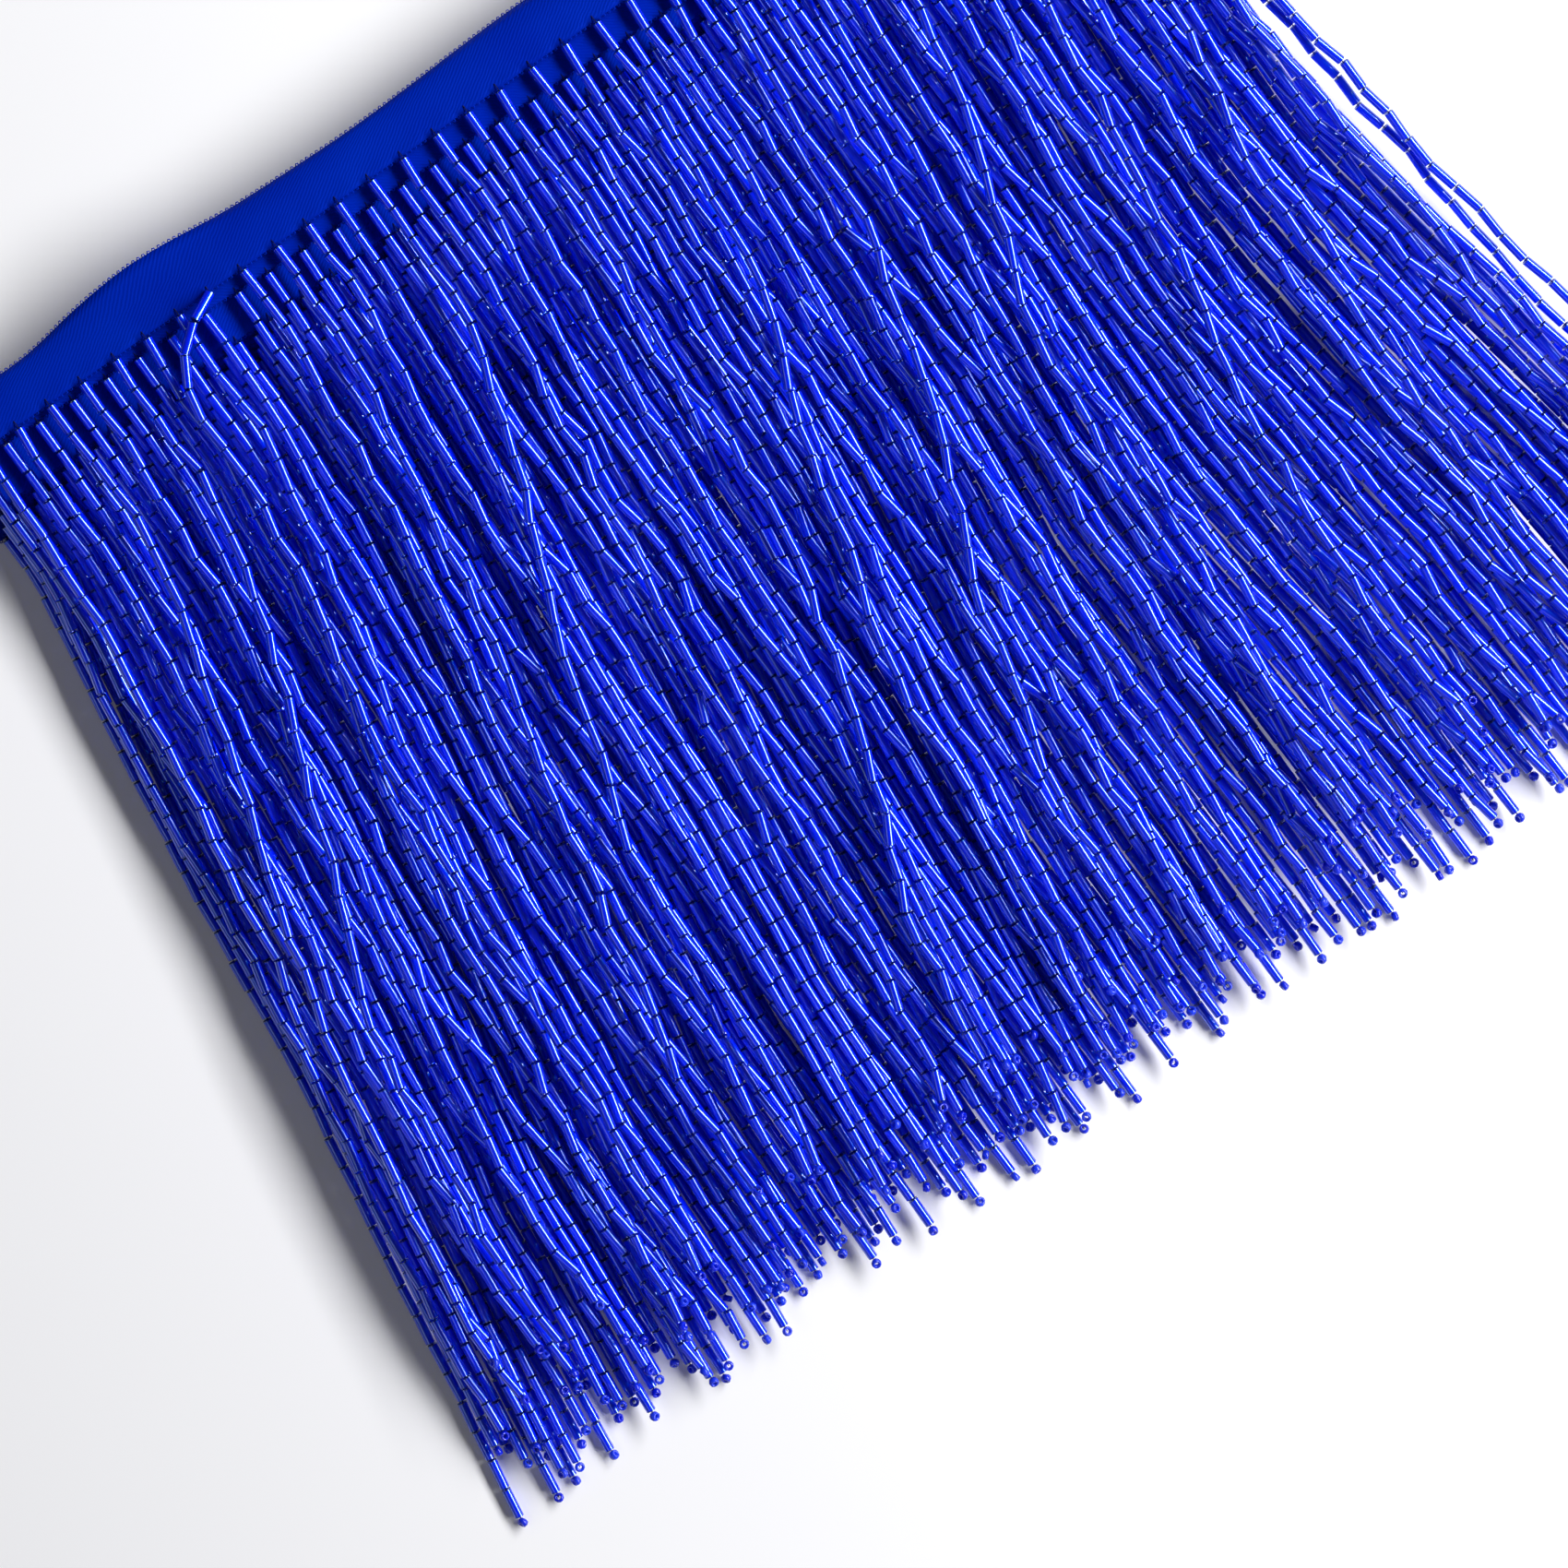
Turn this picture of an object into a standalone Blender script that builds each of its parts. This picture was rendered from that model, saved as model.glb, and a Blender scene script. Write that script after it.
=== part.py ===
"""Beaded fringe trim: a satin ribbon with a row of bead strands along its lower edge.

The trim is one continuous length, folded back and forth into eight layers and laid flat.
The ribbon runs along X, the strands run from its lower edge towards -Y, and +Z is up.
The ribbon is one folded sheet. The stitched selvedge of each layer is a narrow strip of its own,
0.3 mm from the sheet, and that layer's strands are fused into it.
"""

import math
import random

import bmesh
import bpy
from mathutils import Vector

MM = 0.001

# Driving dimensions, in millimetres
LAYERS = 8
RIBBON_WIDTH = 10.0
RIBBON_THICK = 1.0
SELVEDGE_WIDTH = 1.5
GAP = 0.3
STRAND_PITCH = 6.95
STRAND_WIDTH = 1.9
BEADS_ON_STRAND = 32
BEAD_PITCH = 6.25
TIP_LENGTH = 2.2
FIRST_STRAND_X = -119.8
STRANDS_ON_EVEN_LAYER = 35
SELVEDGE_HALF_LENGTH = 121.0

# Heights worked out from the driving dimensions
LAYER_RISE = RIBBON_THICK + GAP
LEVEL_RISE = STRAND_WIDTH + GAP

# The level on which each layer's strands settle: pairs share one, the two top layers have their own
LAYER_LEVEL = (0, 0, 1, 1, 2, 2, 3, 4)
STRAY_LEVEL = 5
LEVELS = 6

# How unevenly the hand-sewn strands are spaced and how many beads more or fewer they carry
PAIR_PHASE = (0.0, 1.35, 2.45, 3.55)
ROOT_JITTER = (0.04, 0.04, 0.25, 0.25)
BEADS_MORE_OR_FEWER = (-1, 0, 0, 1)

# Ends of each layer, lowest layer first: x of the left and right end, y of the lower edge there.
# Neighbouring layers share a turn, so they nearly meet there and part towards the other end.
LEFT_X, RIGHT_X, LEFT_Y, RIGHT_Y = range(4)
LAYER_ENDS = (
    (-121.2, 122.0, -16.2, -14.8),
    (-121.2, 121.6, -15.4, -13.6),
    (-122.0, 121.6, -13.8, -12.8),
    (-122.0, 122.0, -13.0, -11.6),
    (-121.4, 122.0, -11.4, -10.8),
    (-121.4, 121.3, -10.6, -9.8),
    (-122.0, 121.3, -1.0, -9.0),
    (-122.0, 122.0, -0.2, 0.0),
)
TURN_STEPS = 5

# Where the ribbon's section has a corner, measured across from the lower edge
ACROSS = (SELVEDGE_WIDTH + GAP, 6.0, RIBBON_WIDTH)
MOST_DROOP = 1.2
RIBBON_STATIONS = 12

# Ripples in the free edge of the top layer: middle in x, half length, lift and reach past the edge
RIPPLES = (
    (-101.0, 16.0, 0.5, -0.9),
    (-74.0, 24.0, 1.8, 1.9),
    (-28.0, 38.0, 0.5, -1.0),
    (40.0, 26.0, 1.0, 0.6),
    (94.0, 26.0, 1.3, 0.8),
)

# Waves in which the strands of each level lie: sideways size, length across, length along, phase.
# The two lowest levels move together, a quarter of a pitch apart, and make a close mat.
MAT_WAVES = ((2.2, 320.0, 210.0, 0.3), (0.8, 240.0, 105.0, 1.9))
LEVEL_WAVES = (
    MAT_WAVES,
    MAT_WAVES,
    ((2.2, 115.0, 230.0, 4.4), (0.5, 46.0, 112.0, 0.8)),
    ((2.0, 87.0, 210.0, 1.3), (0.8, 38.0, 140.0, 2.6)),
    ((1.8, 128.0, 240.0, 5.3), (0.8, 43.0, 128.0, 3.1)),
    ((1.8, 128.0, 240.0, 5.3), (0.8, 43.0, 128.0, 3.1)),
)
LEVEL_SHIFT = (0.0, 0.4, 0.0, 0.0, 0.0, 0.0)
LEVEL_LEAN = (-0.055, -0.055, -0.045, -0.005, -0.075, -0.075)
OWN_SWAY = (0.05, 0.05, 0.7, 1.1, 1.3, 0.8)
OWN_LEAN = (0.0, 0.0, 0.012, 0.035, 0.035, 0.01)
SWAY_NEAR_ROOT = (0.05, 0.05, 0.05, 0.05, 0.1, 0.2, 0.1, 1.1)

# The strands fan out towards both ends: how far the last one lies sideways at its tip
FAN_LEFT = 17.0
FAN_RIGHT = 34.0
FAN_HALF_WIDTH = 121.0
FAN_LENGTH = 180.0

# Strands of the top layer that lie across the others on the highest level, by index:
# how far they move sideways, and where they start to
STRAYS = {
    2: (-12.0, -27.0),
    4: (-17.0, -27.0),
    7: (-13.4, 100.0),
    9: (-14.0, -54.0),
    12: (-22.0, -27.0),
    16: (-17.0, -90.0),
    19: (-15.0, -27.0),
    22: (-23.0, -54.0),
    26: (-16.0, -27.0),
    29: (-20.0, -54.0),
    32: (-14.0, -27.0),
}
STRAY_LENGTH = 110.0

# One of them is bent at its root: it lies along the ribbon first, over its neighbours, and so it
# is out of place all the way. The corners of its bend, from its root
BENT_STRAND = 7
BEND = ((-0.8, -1.3, 1.0), (-5.6, -2.6, 2.2), (-10.4, -6.8, 2.2), (-13.0, -12.0, 2.2))

# The selvedge's back edge has a corner at every fourth border between strands
BACK_EVERY = 4

# Stations in y at which every strand has a ring, so that neighbours bend together.
# A strand keeps the height of its root until it is past every selvedge, then it settles.
PAST_SELVEDGES_Y = -17.0
NO_EXTRA_RING_BELOW_Y = -9.4
SETTLED_Y = -27.0
STATIONS_Y = (PAST_SELVEDGES_Y, SETTLED_Y, -54.0, -90.0, -128.0, -168.0, -222.0)
FREE_FROM_Y = -78.0

BLUE_SATIN = (0.0, 0.045, 0.33, 1.0)
BLUE_GLASS = (0.0, 0.02, 0.42, 1.0)


def smooth(t):
    """0 below 0, 1 above 1, and an even S between them."""
    t = min(max(t, 0.0), 1.0)
    return t * t * (3.0 - 2.0 * t)


def edge_y(layer, x):
    """Where the lower edge of a layer's ribbon lies at x."""
    ends = LAYER_ENDS[layer]
    share = (x - ends[LEFT_X]) / (ends[RIGHT_X] - ends[LEFT_X])
    return ends[LEFT_Y] + share * (ends[RIGHT_Y] - ends[LEFT_Y])


def ripple(x):
    """Lift and reach of the top layer's free edge at x."""
    lift = 0.0
    reach = 0.0
    for middle, half_length, most_lift, most_reach in RIPPLES:
        share = smooth(1.0 - abs(x - middle) / half_length)
        lift += share * most_lift
        reach += share * most_reach
    return lift, reach


def free_edge_drop(layer, x, heights_below):
    """How far a layer's free edge sinks at x before it meets a layer below it."""
    inner_y = edge_y(layer, x) + ACROSS[1]
    outer_y = edge_y(layer, x) + ACROSS[2]
    level = layer * LAYER_RISE
    drop = MOST_DROOP if layer else 0.0
    for below, free_z in enumerate(heights_below):
        below_inner_y = edge_y(below, x) + ACROSS[1]
        below_outer_y = edge_y(below, x) + ACROSS[2]
        for y in (below_inner_y, below_outer_y, outer_y):
            if inner_y < y <= min(outer_y, below_outer_y) + 1e-6:
                along = max(0.0, (y - below_inner_y) / (below_outer_y - below_inner_y))
                needed = below * LAYER_RISE + along * (free_z - below * LAYER_RISE) + LAYER_RISE
                drop = min(drop, (level - needed) * (outer_y - inner_y) / (y - inner_y))
    return max(drop, 0.0)


def free_edge_heights(x):
    """Height of every layer's free edge at x, worked out from the lowest layer up."""
    heights = []
    for layer in range(LAYERS):
        heights.append(layer * LAYER_RISE - free_edge_drop(layer, x, heights))
    return heights


def ribbon_section(layer, x):
    """Middle of the sheet at each corner of the section, for one layer at x."""
    lower_y = edge_y(layer, x)
    free_z = free_edge_heights(x)[layer]
    lift, reach = ripple(x) if layer == LAYERS - 1 else (0.0, 0.0)
    level = layer * LAYER_RISE + RIBBON_THICK / 2
    return [
        Vector((x, lower_y + ACROSS[0], level)),
        Vector((x, lower_y + ACROSS[1], level)),
        Vector((x, lower_y + ACROSS[2] + reach, free_z + RIBBON_THICK / 2 + lift)),
    ]


def layer_stations(layer, to_left):
    """Sections along one layer, each with the direction that the sheet's first face looks in."""
    ends = LAYER_ENDS[layer]
    facing = Vector((0.0, 0.0, 1.0 if (LAYERS - 1 - layer) % 2 == 0 else -1.0))
    shares = [i / RIBBON_STATIONS for i in range(RIBBON_STATIONS + 1)]
    if to_left:
        shares.reverse()
    stations = []
    for share in shares:
        x = ends[LEFT_X] + share * (ends[RIGHT_X] - ends[LEFT_X])
        stations.append((ribbon_section(layer, x), facing))
    return stations


def turn_stations(upper, at_left):
    """Sections round the turn between a layer and the one below it."""
    side = Vector((-1.0 if at_left else 1.0, 0.0, 0.0))
    end_x = LAYER_ENDS[upper][LEFT_X if at_left else RIGHT_X]
    above = ribbon_section(upper, end_x)
    below = ribbon_section(upper - 1, end_x)
    first_face_up = 1.0 if (LAYERS - 1 - upper) % 2 == 0 else -1.0
    stations = []
    for step in range(1, TURN_STEPS):
        angle = math.pi * step / TURN_STEPS
        section = []
        for top, bottom in zip(above, below):
            half = (top - bottom) / 2
            section.append((top + bottom) / 2 + half * math.cos(angle) + side * half.length * math.sin(angle))
        facing = (Vector((0.0, 0.0, 1.0)) * math.cos(angle) + side * math.sin(angle)) * first_face_up
        stations.append((section, facing))
    return stations


def material(name, colour, roughness, metallic):
    made = bpy.data.materials.new(name)
    made.use_nodes = True
    surface = made.node_tree.nodes["Principled BSDF"]
    surface.inputs["Base Color"].default_value = colour
    surface.inputs["Roughness"].default_value = roughness
    surface.inputs["Metallic"].default_value = metallic
    made.diffuse_color = colour
    return made


def add_object(name, bm, finish, parent):
    """Makes the object of a mesh built in millimetres."""
    bmesh.ops.recalc_face_normals(bm, faces=bm.faces)
    bmesh.ops.scale(bm, vec=(MM, MM, MM), verts=bm.verts)
    mesh = bpy.data.meshes.new(name)
    bm.to_mesh(mesh)
    bm.free()
    mesh.materials.append(finish)
    made = bpy.data.objects.new(name, mesh)
    bpy.context.scene.collection.objects.link(made)
    made.parent = parent
    return made


def build_ribbon(finish, parent):
    """The satin ribbon, from its loose end on the top layer down to the one on the lowest."""
    stations = []
    for layer in reversed(range(LAYERS)):
        to_left = (LAYERS - 1 - layer) % 2 == 0
        stations += layer_stations(layer, to_left)
        if layer:
            stations += turn_stations(layer, to_left)
    bm = bmesh.new()
    half = RIBBON_THICK / 2
    rings = []
    for section, facing in stations:
        first_face = [bm.verts.new(point + facing * half) for point in section]
        second_face = [bm.verts.new(point - facing * half) for point in section]
        rings.append(first_face + second_face[::-1])
    corners = len(rings[0])
    for ring, following in zip(rings, rings[1:]):
        for i in range(corners):
            j = (i + 1) % corners
            bm.faces.new((ring[i], ring[j], following[j], following[i]))
    bm.faces.new(rings[0])
    bm.faces.new(rings[-1])
    return add_object("ribbon", bm, finish, parent)


def strand_roots(layer):
    """Where the strands of a layer are sewn on, in x, and how long each one is."""
    chance = random.Random(layer)
    jitter = ROOT_JITTER[layer // 2]
    count = STRANDS_ON_EVEN_LAYER - layer % 2
    phase = PAIR_PHASE[layer // 2] + (layer % 2) * STRAND_PITCH / 2
    roots = []
    for i in range(count):
        x = FIRST_STRAND_X + phase + i * STRAND_PITCH + chance.uniform(-jitter, jitter)
        beads = BEADS_ON_STRAND + chance.choice(BEADS_MORE_OR_FEWER)
        roots.append((x, beads * BEAD_PITCH + TIP_LENGTH))
    return roots


def sideways(level, x, y):
    """How far the strands of a level have moved sideways at y, for one rooted at x."""
    past = max(SETTLED_Y - y, 0.0)
    away = smooth(past / (SETTLED_Y - FREE_FROM_Y))
    moved = away * LEVEL_SHIFT[level] + LEVEL_LEAN[level] * past
    for size, across, along, phase in LEVEL_WAVES[level]:
        moved += away * size * math.sin(2.0 * math.pi * (x / across - y / along) + phase)
    share = min(abs(x) / FAN_HALF_WIDTH, 1.0) ** 1.4
    down = min(past / FAN_LENGTH, 1.2)
    if x < 0.0:
        moved -= FAN_LEFT * share * math.sin(down * math.pi / 2.4)
    else:
        moved += FAN_RIGHT * share * down ** 1.5
    return moved


def keep_apart(places):
    """Moves neighbours that are too close apart, a little at a time, and keeps their order."""
    places = list(places)
    least = STRAND_WIDTH + GAP + 0.05
    for _ in range(200):
        for i in range(len(places) - 1):
            lack = least - (places[i + 1] - places[i])
            if lack > 0.0:
                places[i] -= lack / 2
                places[i + 1] += lack / 2
    return places


def level_places(level):
    """Sideways places of a level's strands at every station, by layer and index."""
    strands = []
    for layer in range(LAYERS):
        for index, (x, _) in enumerate(strand_roots(layer)):
            is_stray = layer == LAYERS - 1 and index in STRAYS
            if level == (STRAY_LEVEL if is_stray else LAYER_LEVEL[layer]):
                strands.append((x, layer, index))
    strands.sort()
    chance = random.Random(100 + level)
    places = {(layer, index): [] for _, layer, index in strands}
    leans = [chance.uniform(-OWN_LEAN[level], OWN_LEAN[level]) for _ in strands]
    for y in STATIONS_Y:
        wanted = []
        for (x, layer, index), lean in zip(strands, leans):
            sway = SWAY_NEAR_ROOT[layer] if y >= SETTLED_Y else OWN_SWAY[level]
            place = x + sideways(level, x, y) + lean * max(SETTLED_Y - y, 0.0) + chance.uniform(-sway, sway)
            if level == STRAY_LEVEL:
                shift, leaves_y = STRAYS[index]
                place += shift * smooth((leaves_y - y) / STRAY_LENGTH)
            wanted.append(place)
        for (_, layer, index), place in zip(strands, keep_apart(wanted)):
            places[layer, index].append((place, level))
    return places


def is_bent(layer, index):
    return layer == LAYERS - 1 and index == BENT_STRAND


def strand_route(layer, index, root, length, places):
    """Points along the underside of a strand, from where it has its full width to its tip."""
    root_y = edge_y(layer, root)
    root_z = layer * LAYER_RISE
    bend = BEND if is_bent(layer, index) else ((0.0, -1.0, 0.0),)
    course = [Vector((root, root_y, root_z)) + Vector(corner) for corner in bend]
    for y, (place, level) in zip(STATIONS_Y, places):
        course.append(Vector((place, y, level * LEVEL_RISE if y <= SETTLED_Y else course[-1].z)))
    points = course[:1]
    left = length - 1.0
    for point in course[1:]:
        step = (point - points[-1]).length
        if step >= left:
            points.append(points[-1].lerp(point, left / step))
            break
        points.append(point)
        left -= step
    if root_y < NO_EXTRA_RING_BELOW_Y:
        points.pop(0)
    return points


def zip_rows(bm, front, back):
    """Joins two rows of corners that run along X with triangles."""
    i = 0
    j = 0
    while i < len(front) - 1 or j < len(back) - 1:
        front_next = i < len(front) - 1 and (j == len(back) - 1 or front[i + 1].co.x <= back[j + 1].co.x)
        if front_next:
            bm.faces.new((front[i], front[i + 1], back[j]))
            i += 1
        else:
            bm.faces.new((front[i], back[j + 1], back[j]))
            j += 1


def build_fringe_row(layer, places, finish, parent):
    """One layer's stitched selvedge with its strands, each a three-sided tube with a flat underside."""
    roots = strand_roots(layer)
    floor_z = layer * LAYER_RISE
    bm = bmesh.new()

    def corner(x, back, up):
        y = edge_y(layer, x) + (SELVEDGE_WIDTH if back else 0.0)
        return bm.verts.new((x, y, floor_z + (RIBBON_THICK if up else 0.0)))

    borders = [-SELVEDGE_HALF_LENGTH]
    borders += [(a[0] + b[0]) / 2 for a, b in zip(roots, roots[1:])]
    borders += [SELVEDGE_HALF_LENGTH]
    back_borders = borders[::BACK_EVERY] + borders[-1:] * (len(borders) % BACK_EVERY != 1)
    low = [corner(x, False, False) for x in borders]
    high = [corner(x, False, True) for x in borders]
    back_low = [corner(x, True, False) for x in back_borders]
    back_high = [corner(x, True, True) for x in back_borders]
    zip_rows(bm, low, back_low)
    zip_rows(bm, high, back_high)
    for i in range(len(back_low) - 1):
        bm.faces.new((back_low[i], back_low[i + 1], back_high[i + 1], back_high[i]))
    bm.faces.new((low[0], high[0], back_high[0], back_low[0]))
    bm.faces.new((low[-1], high[-1], back_high[-1], back_low[-1]))

    half = STRAND_WIDTH / 2
    root_half = 0.4 * STRAND_WIDTH
    root_inset = 0.1 * RIBBON_THICK
    for i, (x, length) in enumerate(roots):
        ring = [
            bm.verts.new((x - root_half, edge_y(layer, x - root_half), floor_z + root_inset)),
            bm.verts.new((x + root_half, edge_y(layer, x + root_half), floor_z + root_inset)),
            bm.verts.new((x, edge_y(layer, x), floor_z + RIBBON_THICK - root_inset)),
        ]
        bm.faces.new((low[i], low[i + 1], ring[1], ring[0]))
        bm.faces.new((low[i + 1], high[i + 1], ring[2], ring[1]))
        bm.faces.new((high[i], low[i], ring[0], ring[2]))
        bm.faces.new((high[i + 1], high[i], ring[2]))
        route = strand_route(layer, i, x, length, places[layer, i])
        for before, point, after in zip(route[:1] + route, route, route[1:] + route[-1:]):
            side = Vector((half, 0.0, 0.0))
            if is_bent(layer, i):
                side = Vector((before.y - after.y, after.x - before.x, 0.0)).normalized() * half
            following = [
                bm.verts.new(point - side),
                bm.verts.new(point + side),
                bm.verts.new(point + Vector((0.0, 0.0, STRAND_WIDTH))),
            ]
            for a in range(3):
                b = (a + 1) % 3
                bm.faces.new((ring[a], ring[b], following[b], following[a]))
            ring = following
        bm.faces.new(ring)
    return add_object(f"fringe_{layer + 1}", bm, finish, parent)


def stand_on_origin(parent, parts):
    """Puts the middle of the part's box, at floor height, on the origin."""
    corners = [vertex.co for part in parts for vertex in part.data.vertices]
    lowest = [min(c[i] for c in corners) for i in range(3)]
    highest = [max(c[i] for c in corners) for i in range(3)]
    middle = [(a + b) / 2 for a, b in zip(lowest, highest)]
    parent.location = (-middle[0], -middle[1], -lowest[2])


def main():
    for old in list(bpy.data.objects):
        bpy.data.objects.remove(old)
    trim = bpy.data.objects.new("trim", None)
    bpy.context.scene.collection.objects.link(trim)
    satin = material("satin_ribbon", BLUE_SATIN, 0.42, 0.0)
    glass = material("glass_beads", BLUE_GLASS, 0.16, 0.35)
    parts = [build_ribbon(satin, trim)]
    places = {}
    for level in range(LEVELS):
        places.update(level_places(level))
    for layer in range(LAYERS):
        parts.append(build_fringe_row(layer, places, glass, trim))
    stand_on_origin(trim, parts)


main()
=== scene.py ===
"""The look of the beaded fringe trim: satin ribbon, strung bugle beads, stop beads and thread."""

import math
import random

import bmesh
import bpy
import numpy as np
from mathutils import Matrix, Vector


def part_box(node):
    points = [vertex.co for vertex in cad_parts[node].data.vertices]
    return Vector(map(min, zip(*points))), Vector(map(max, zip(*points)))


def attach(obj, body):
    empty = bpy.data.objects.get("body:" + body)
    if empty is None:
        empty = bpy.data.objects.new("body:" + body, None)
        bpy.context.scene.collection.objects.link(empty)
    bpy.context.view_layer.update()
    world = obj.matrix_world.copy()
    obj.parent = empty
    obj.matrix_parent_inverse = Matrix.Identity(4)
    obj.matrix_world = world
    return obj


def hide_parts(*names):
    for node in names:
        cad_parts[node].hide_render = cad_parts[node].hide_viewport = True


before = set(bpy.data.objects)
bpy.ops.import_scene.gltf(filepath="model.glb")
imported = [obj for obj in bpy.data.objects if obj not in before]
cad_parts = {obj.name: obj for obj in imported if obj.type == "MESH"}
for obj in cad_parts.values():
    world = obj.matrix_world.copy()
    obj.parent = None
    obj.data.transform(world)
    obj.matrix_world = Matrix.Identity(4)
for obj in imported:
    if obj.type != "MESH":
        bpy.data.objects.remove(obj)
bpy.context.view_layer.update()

# The trim as it lies. A machine-made fringe, folded back and forth into eight layers on a table.
# The ribbon's lower edge runs along X and the strands lie towards -Y, in the places that the
# solids give them: the same ends, pitch, waves and levels, worked out here in millimetres.
MM = 0.001
LAYERS = 8
LAYER_RISE = 1.3
LEVEL_RISE = 2.2
STRAND_PITCH = 6.95
FIRST_STRAND_X = -119.8
STRANDS_ON_EVEN_LAYER = 35
PAIR_PHASE = (0.0, 1.35, 2.45, 3.55)
ROOT_JITTER = (0.04, 0.04, 0.25, 0.25)
BEADS_ON_STRAND = 32
BEAD_PITCH = 6.25
TIP_LENGTH = 2.2
BEADS_MORE_OR_FEWER = (-1, 0, 0, 1)
BEAD_ROOM = 2.25
STRAND_SPACE = 1.95
OUT_OF_REACH = 1000.0

# Ends of each layer, lowest first: x of its left and right end, y of its lower edge there
LEFT_X, RIGHT_X, LEFT_Y, RIGHT_Y = range(4)
LAYER_ENDS = (
    (-121.2, 122.0, -16.2, -14.8),
    (-121.2, 121.6, -15.4, -13.6),
    (-122.0, 121.6, -13.8, -12.8),
    (-122.0, 122.0, -13.0, -11.6),
    (-121.4, 122.0, -11.4, -10.8),
    (-121.4, 121.3, -10.6, -9.8),
    (-122.0, 121.3, -1.0, -9.0),
    (-122.0, 122.0, -0.2, 0.0),
)
# The upper part of the ribbon, past DROOPS_FROM from its sewn edge, sinks onto the layer below
RIBBON_WIDTH = 10.0
DROOPS_FROM = 6.0
MOST_DROOP = 1.2
RIPPLES = (
    (-101.0, 16.0, 0.5, -0.9),
    (-74.0, 24.0, 1.8, 1.9),
    (-28.0, 38.0, 0.5, -1.0),
    (40.0, 26.0, 1.0, 0.6),
    (94.0, 26.0, 1.3, 0.8),
)


def smooth(t):
    t = min(max(t, 0.0), 1.0)
    return t * t * (3.0 - 2.0 * t)


def edge_y(layer, x):
    ends = LAYER_ENDS[layer]
    share = (x - ends[LEFT_X]) / (ends[RIGHT_X] - ends[LEFT_X])
    return ends[LEFT_Y] + share * (ends[RIGHT_Y] - ends[LEFT_Y])


def ripple(x):
    lift = 0.0
    reach = 0.0
    for middle, half_length, most_lift, most_reach in RIPPLES:
        share = smooth(1.0 - abs(x - middle) / half_length)
        lift += share * most_lift
        reach += share * most_reach
    return lift, reach


def free_edge_heights(x):
    """How high each layer's free edge lies, from the lowest up: each sinks until it meets one below."""
    heights = []
    for layer in range(LAYERS):
        inner = edge_y(layer, x) + DROOPS_FROM
        outer = edge_y(layer, x) + RIBBON_WIDTH
        level = layer * LAYER_RISE
        drop = MOST_DROOP if layer else 0.0
        for below, free_z in enumerate(heights):
            below_inner = edge_y(below, x) + DROOPS_FROM
            below_outer = edge_y(below, x) + RIBBON_WIDTH
            for y in (below_inner, below_outer, outer):
                if inner < y <= min(outer, below_outer) + 1e-6:
                    along = max(0.0, (y - below_inner) / (below_outer - below_inner))
                    needed = below * LAYER_RISE + along * (free_z - below * LAYER_RISE) + LAYER_RISE
                    drop = min(drop, (level - needed) * (outer - inner) / (y - inner))
        heights.append(level - max(drop, 0.0))
    return heights


# Satin ribbon. A 10 mm polyester satin ribbon, woven with small picot loops on both selvedges.
# One length of it makes all eight layers, turned over itself at alternate ends. It is 0.3 mm thick.
RIBBON_THICK = 0.3
RIBBON_STEP = 1.6
RIBBON_ACROSS = (0.0, 0.9, 1.8, 3.2, 4.6, 6.0, 7.3, 8.7, 10.0)
TURN_STEPS = 9
MIDDLE_OF_SOLID = 0.5
PUCKER = 0.12
PUCKERS_UP_TO = 3.0


def sheet_row(layer, x):
    """Points across the middle of the sheet at x, from the sewn selvedge to the free one."""
    level = layer * LAYER_RISE + MIDDLE_OF_SOLID
    free = free_edge_heights(x)[layer] + MIDDLE_OF_SOLID
    lift, reach = ripple(x) if layer == LAYERS - 1 else (0.0, 0.0)
    row = []
    for across in RIBBON_ACROSS:
        over = max(0.0, (across - DROOPS_FROM) / (RIBBON_WIDTH - DROOPS_FROM))
        soft = 0.35 * over + 0.65 * over * over
        near_seam = max(0.0, 1.0 - across / PUCKERS_UP_TO)
        pucker = PUCKER * math.sin(x * 2.0 * math.pi / STRAND_PITCH) * near_seam
        y = edge_y(layer, x) + across + reach * over
        z = level + (free + lift - level) * soft + pucker
        row.append(Vector((x, y, z)))
    return row


ribbon_rows = []
for layer in reversed(range(LAYERS)):
    to_left = (LAYERS - 1 - layer) % 2 == 0
    ends = LAYER_ENDS[layer]
    steps = round((ends[RIGHT_X] - ends[LEFT_X]) / RIBBON_STEP)
    shares = [i / steps for i in range(steps + 1)]
    if to_left:
        shares.reverse()
    for share in shares:
        ribbon_rows.append(sheet_row(layer, ends[LEFT_X] + share * (ends[RIGHT_X] - ends[LEFT_X])))
    if layer:
        end_x = ends[LEFT_X if to_left else RIGHT_X]
        outwards = Vector((-1.0 if to_left else 1.0, 0.0, 0.0))
        above = sheet_row(layer, end_x)
        below = sheet_row(layer - 1, end_x)
        for step in range(1, TURN_STEPS):
            angle = math.pi * step / TURN_STEPS
            turn = []
            for top, bottom in zip(above, below):
                half = (top - bottom) / 2
                upright = (top + bottom) / 2 + half * math.cos(angle)
                turn.append(upright + outwards * half.length * math.sin(angle))
            ribbon_rows.append(turn)


def shared_offset():
    """From the strip's own millimetres to the frame: the solids' box is centred on the origin."""
    low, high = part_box("ribbon")
    top_edge = max(p.y for row in ribbon_rows for p in row)
    left = min(p.x for row in ribbon_rows for p in row)
    right = max(p.x for row in ribbon_rows for p in row)
    return Vector(((low[0] + high[0]) / 2 / MM - (left + right) / 2, high[1] / MM - top_edge, 0.0))


OFFSET = shared_offset()


def put(point):
    return (point + OFFSET) * MM


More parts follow.
